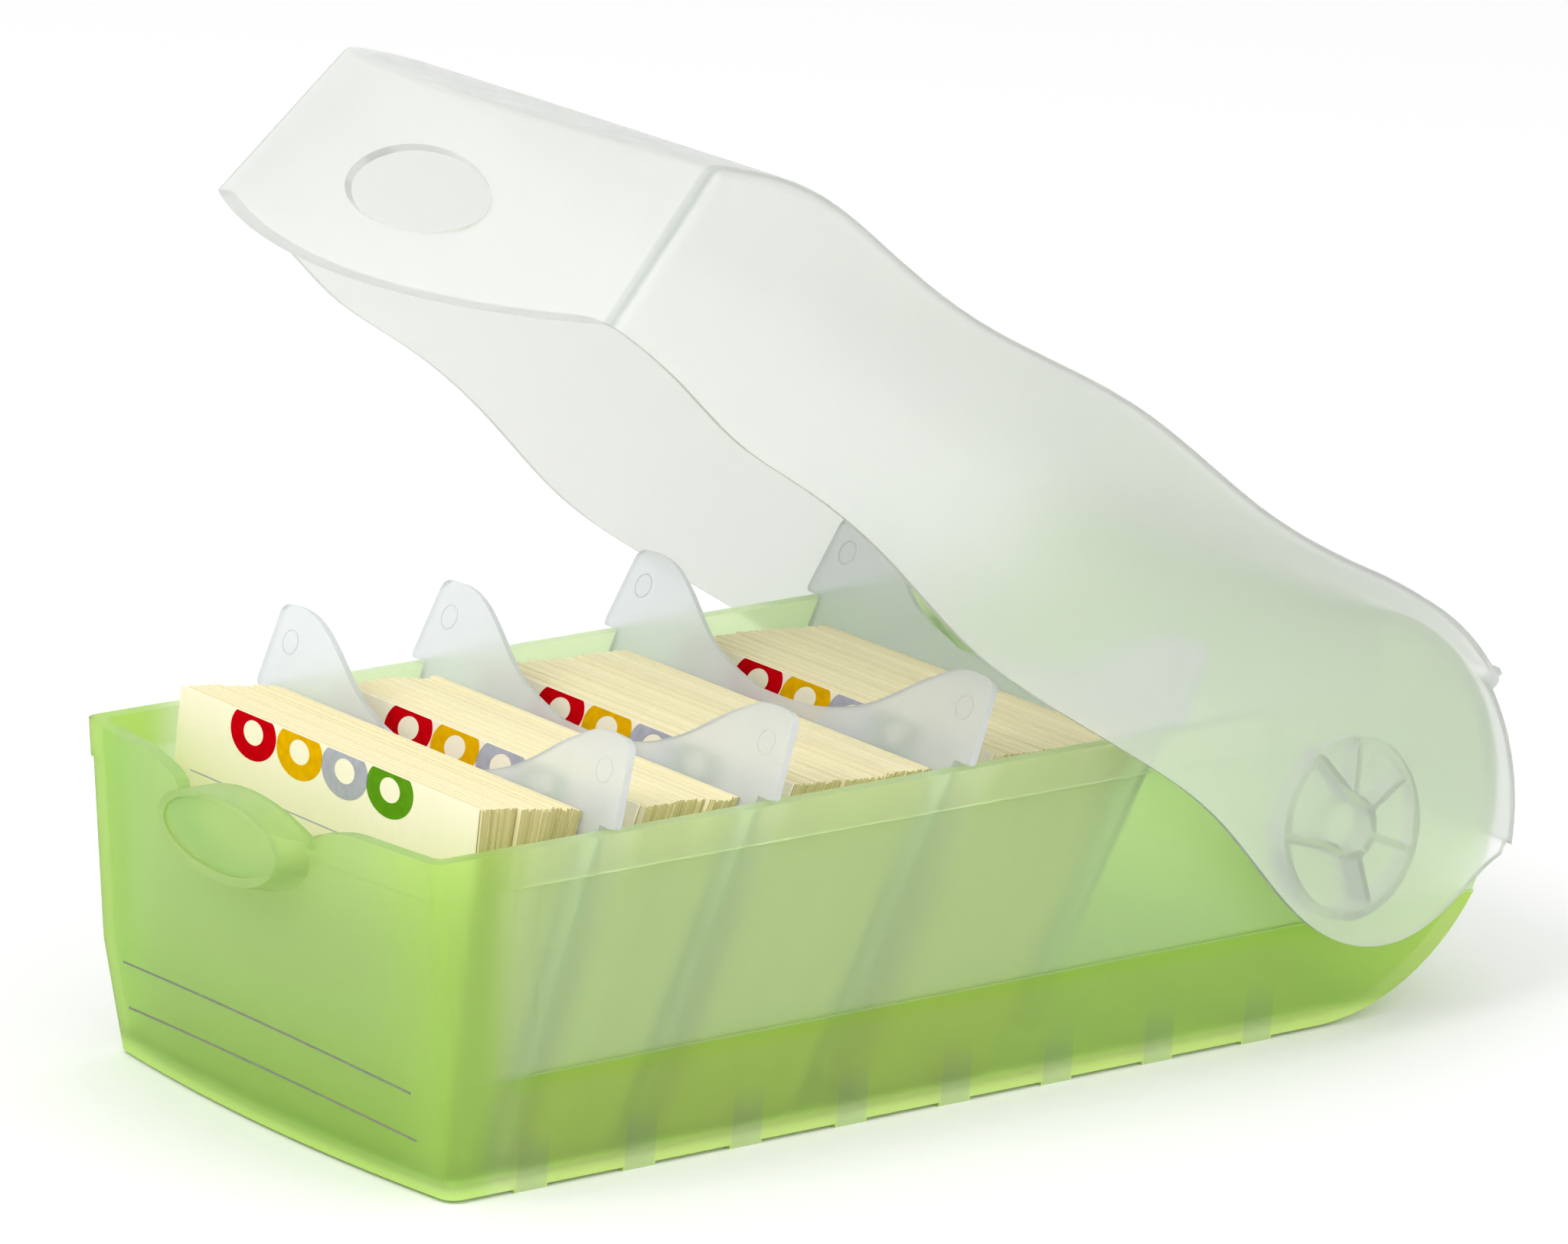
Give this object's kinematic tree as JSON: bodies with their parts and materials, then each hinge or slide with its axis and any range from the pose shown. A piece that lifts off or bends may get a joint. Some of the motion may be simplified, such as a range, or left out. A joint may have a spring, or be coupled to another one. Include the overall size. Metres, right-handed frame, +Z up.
{
  "type": "index card box",
  "caption": "Translucent tray for small index cards with a bowed front, thumb boss and hooded rear, hinged clear wavy lid, and hanging divider plates between packs of cards.",
  "frame": {"origin": "on the table under the middle of the tray, at the centre of its fifth cross rib", "axes": "+X across the width towards the side seen on the right from the front, +Y from the front to the hinge, +Z up"},
  "size_m": [0.1452, 0.2815, 0.2044],
  "materials": {
    "green_plastic": "translucent lime-green moulded plastic, satin inside",
    "clear_plastic": "clear moulded plastic with a fine frosted grain",
    "frosted_plate": "frosted clear plate",
    "card_paper": "uncoated cream card edges",
    "front_card": "uncoated cream card with four round printed marks"
  },
  "bodies": {
    "box_body": {"box_body": "green_plastic"},
    "lid": {"lid": "clear_plastic"},
    "divider_1": {"divider_1": "frosted_plate"},
    "cards_1": {"card_packet_1a": "card_paper", "card_packet_1b": "card_paper", "card_packet_1c": "card_paper"},
    "front_card_1": {"front_card_1": "front_card"},
    "divider_2": {"divider_2": "frosted_plate"},
    "cards_2": {"card_packet_2a": "card_paper", "card_packet_2b": "card_paper", "card_packet_2c": "card_paper"},
    "front_card_2": {"front_card_2": "front_card"},
    "divider_3": {"divider_3": "frosted_plate"},
    "cards_3": {"card_packet_3a": "card_paper", "card_packet_3b": "card_paper", "card_packet_3c": "card_paper"},
    "front_card_3": {"front_card_3": "front_card"},
    "divider_4": {"divider_4": "frosted_plate"},
    "cards_4": {"card_packet_4a": "card_paper", "card_packet_4b": "card_paper", "card_packet_4c": "card_paper"},
    "front_card_4": {"front_card_4": "front_card"}
  },
  "joints": [
    {"name": "lid_hinge", "type": "hinge", "parent": "box_body", "child": "lid", "pos_m": [0, 0.0942, 0.0457], "axis": [-1, 0, 0], "range_deg": [-33, 55]},
    {"name": "divider_1_lift", "type": "slide", "parent": "box_body", "child": "divider_1", "axis": [0, 0.2924, 0.9563], "range_m": [0, 0.085]},
    {"name": "cards_1_lift", "type": "slide", "parent": "box_body", "child": "cards_1", "axis": [0, 0.2233, 0.9748], "range_m": [0, 0.085]},
    {"name": "front_card_1_lift", "type": "slide", "parent": "box_body", "child": "front_card_1", "axis": [0, 0.0958, 0.9954], "range_m": [0, 0.08]},
    {"name": "divider_2_lift", "type": "slide", "parent": "box_body", "child": "divider_2", "axis": [0, 0.3778, 0.9259], "range_m": [0, 0.07]},
    {"name": "cards_2_lift", "type": "slide", "parent": "box_body", "child": "cards_2", "axis": [0, 0.3746, 0.9272], "range_m": [0, 0.08]},
    {"name": "front_card_2_lift", "type": "slide", "parent": "box_body", "child": "front_card_2", "axis": [0, 0.3665, 0.9304], "range_m": [0, 0.08]},
    {"name": "divider_3_lift", "type": "slide", "parent": "box_body", "child": "divider_3", "axis": [0, 0.4226, 0.9063], "range_m": [0, 0.05]},
    {"name": "cards_3_lift", "type": "slide", "parent": "box_body", "child": "cards_3", "axis": [0, 0.4195, 0.9078], "range_m": [0, 0.065]},
    {"name": "front_card_3_lift", "type": "slide", "parent": "box_body", "child": "front_card_3", "axis": [0, 0.4147, 0.91], "range_m": [0, 0.075]},
    {"name": "divider_4_lift", "type": "slide", "parent": "box_body", "child": "divider_4", "axis": [0, 0.454, 0.891], "range_m": [0, 0.026]},
    {"name": "cards_4_lift", "type": "slide", "parent": "box_body", "child": "cards_4", "axis": [0, 0.4509, 0.8926], "range_m": [0, 0.045]},
    {"name": "front_card_4_lift", "type": "slide", "parent": "box_body", "child": "front_card_4", "axis": [0, 0.4462, 0.8949], "range_m": [0, 0.06]}
  ]
}
